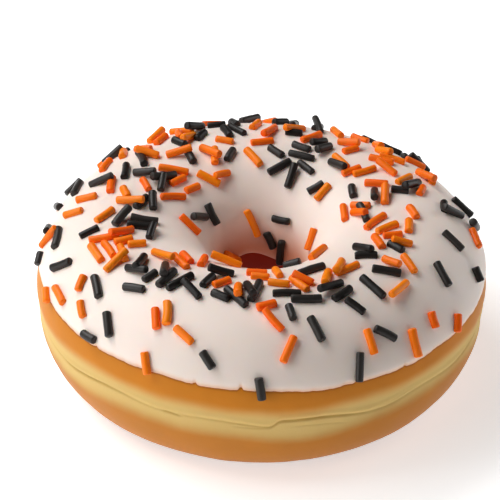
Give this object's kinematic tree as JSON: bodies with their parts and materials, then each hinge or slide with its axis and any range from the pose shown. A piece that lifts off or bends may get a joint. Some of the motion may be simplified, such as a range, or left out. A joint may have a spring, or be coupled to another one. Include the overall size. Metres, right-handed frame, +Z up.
{
  "type": "iced ring doughnut",
  "caption": "Yeast raised ring doughnut with a flat base, a pale band round its side, a smooth white icing cap and strewn sugar sprinkles.",
  "frame": {"origin": "centre of the flat underside, on the axis of the hole", "axes": "+Z up along the axis of the hole, -Y towards the side seen from the front"},
  "size_m": [0.0914, 0.0936, 0.0373],
  "materials": {
    "dough": "soft golden fried crust with a paler band of crumb round the side",
    "icing": "smooth set white sugar icing, satin, with black and orange sugar sprinkles"
  },
  "bodies": {
    "root": {"dough": "dough", "icing": "icing"}
  },
  "joints": []
}
